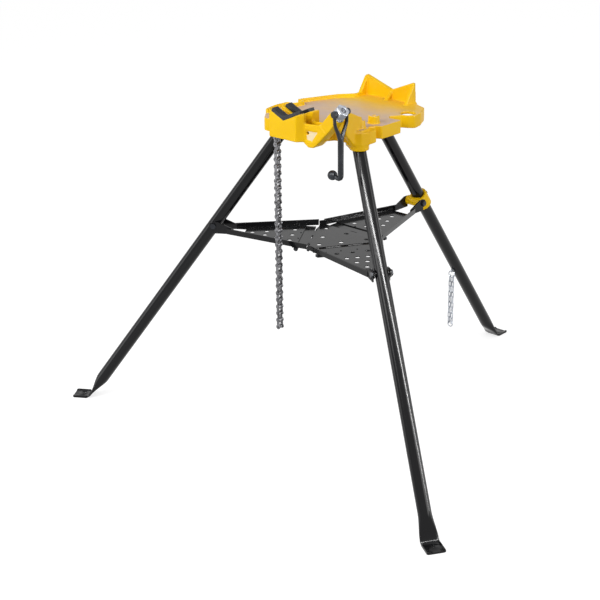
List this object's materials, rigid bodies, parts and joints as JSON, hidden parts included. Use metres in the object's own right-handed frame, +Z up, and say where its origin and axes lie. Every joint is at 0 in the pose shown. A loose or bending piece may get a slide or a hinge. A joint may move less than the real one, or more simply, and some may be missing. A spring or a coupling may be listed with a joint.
{
  "type": "tripod pipe vise stand",
  "caption": "Folding tripod stand with a cast work table, a chain vise with V jaws and a crank nut, a rear pipe rest, bender posts and a perforated tool tray that braces the tube legs.",
  "frame": {"origin": "on the floor, under the middle of the bounding box of the opened stand", "axes": "+Z up; -Y towards the jaws and the two front legs, +Y towards the rear leg; +X towards the side of the crank nut"},
  "size_m": [1.314, 1.1932, 0.9306],
  "materials": {
    "yellow_paint": "glossy yellow enamel on a rough casting",
    "black_paint": "semi-gloss black enamel on steel tube and sheet",
    "black_iron": "black oxide on forged steel",
    "chain_steel": "oiled bright steel",
    "zinc_plate": "zinc plated steel"
  },
  "bodies": {
    "vise_base": {"base_casting": "yellow_paint", "front_jaw": "black_iron", "rear_jaw": "black_iron", "jaw_screws": "zinc_plate", "leg_pivot_pins": "zinc_plate", "leg_pivot_clips": "zinc_plate", "chain_screw": "chain_steel", "screw_eye_pin": "chain_steel", "seat_washer": "zinc_plate", "run_outer_plates": "chain_steel", "run_inner_plates": "chain_steel", "run_pins": "chain_steel", "run_rollers": "chain_steel"},
    "nut": {"chain_nut": "zinc_plate", "crank_pivot_pins": "black_iron"},
    "crank": {"crank_handle": "black_iron", "crank_ball": "black_iron"},
    "free_chain": {"chain_outer_plates": "chain_steel", "chain_inner_plates": "chain_steel", "chain_pins": "chain_steel", "chain_rollers": "chain_steel"},
    "right_leg": {"right_front_leg": "black_paint", "right_pivot_sleeve": "black_paint"},
    "left_leg": {"left_front_leg": "black_paint", "left_pivot_sleeve": "black_paint"},
    "rear_leg_set": {"rear_leg": "black_paint", "rear_leg_collar": "yellow_paint", "collar_bolt": "zinc_plate", "transport_eye": "zinc_plate"},
    "transport_set": {"transport_ring": "zinc_plate", "transport_chain": "zinc_plate", "transport_end_ring": "zinc_plate"},
    "hub": {"tray_hub": "black_paint", "hub_hinge_pins": "zinc_plate"},
    "right_arm": {"right_tray_arm": "black_paint", "right_arm_leaf": "black_paint", "right_leaf_rod": "zinc_plate", "right_arm_bolts": "zinc_plate"},
    "left_arm": {"left_tray_arm": "black_paint", "left_arm_leaf": "black_paint", "left_leaf_rod": "zinc_plate", "left_arm_bolts": "zinc_plate"},
    "rear_arm": {"rear_tray_arm": "black_paint", "rear_arm_leaf": "black_paint", "rear_leaf_rod": "zinc_plate", "rear_arm_bolts": "zinc_plate"}
  },
  "joints": [
    {"name": "nut_turn", "type": "hinge", "parent": "vise_base", "child": "nut", "pos_m": [0.1515, -0.34539, 0.91], "axis": [0.6782, 0, 0.7349], "range_deg": [-15, 0]},
    {"name": "crank_swing", "type": "hinge", "parent": "nut", "child": "crank", "pos_m": [0.1515, -0.34539, 0.91], "axis": [0, 1, 0], "range_deg": [-150, 0]},
    {"name": "chain_swing", "type": "hinge", "parent": "vise_base", "child": "free_chain", "pos_m": [-0.05858, -0.34539, 0.83221], "axis": [0, 1, 0], "range_deg": [0, 18]},
    {"name": "rear_leg_fold", "type": "hinge", "parent": "vise_base", "child": "rear_leg_set", "pos_m": [0, -0.02639, 0.812], "axis": [-1, 0, 0], "range_deg": [0, 27.63]},
    {"name": "right_leg_fold", "type": "hinge", "parent": "vise_base", "child": "right_leg", "pos_m": [0.1199, -0.24447, 0.812], "axis": [0.5358, 0.8443, 0], "range_deg": [0, 33]},
    {"name": "left_leg_fold", "type": "hinge", "parent": "vise_base", "child": "left_leg", "pos_m": [-0.1199, -0.24447, 0.812], "axis": [0.5358, -0.8443, 0], "range_deg": [0, 33]},
    {"name": "tray_lift", "type": "slide", "parent": "vise_base", "child": "hub", "axis": [0, 0, 1], "range_m": [0, 0.21903]},
    {"name": "transport_swing", "type": "hinge", "parent": "rear_leg_set", "child": "transport_set", "pos_m": [0, 0.32861, 0.276], "axis": [-1, 0, 0], "range_deg": [-25, 25]},
    {"name": "right_arm_fold", "type": "hinge", "parent": "hub", "child": "right_arm", "pos_m": [0.06043, -0.20674, 0.5085], "axis": [0.5358, 0.8443, 0], "range_deg": [0, 77.2]},
    {"name": "left_arm_fold", "type": "hinge", "parent": "hub", "child": "left_arm", "pos_m": [-0.06043, -0.20674, 0.5085], "axis": [0.5358, -0.8443, 0], "range_deg": [0, 77.2]},
    {"name": "rear_arm_fold", "type": "hinge", "parent": "hub", "child": "rear_arm", "pos_m": [0, -0.12139, 0.5085], "axis": [-1, 0, 0], "range_deg": [0, 69.24]}
  ],
  "couplings": [
    {"joint": "right_leg_fold", "follows": "rear_leg_fold", "ratio": 1.1944},
    {"joint": "left_leg_fold", "follows": "rear_leg_fold", "ratio": 1.1944},
    {"joint": "tray_lift", "follows": "rear_leg_fold", "m_per_rad": 0.45418},
    {"joint": "right_arm_fold", "follows": "rear_leg_fold", "ratio": 2.794},
    {"joint": "left_arm_fold", "follows": "rear_leg_fold", "ratio": 2.794},
    {"joint": "rear_arm_fold", "follows": "rear_leg_fold", "ratio": 2.5059}
  ]
}
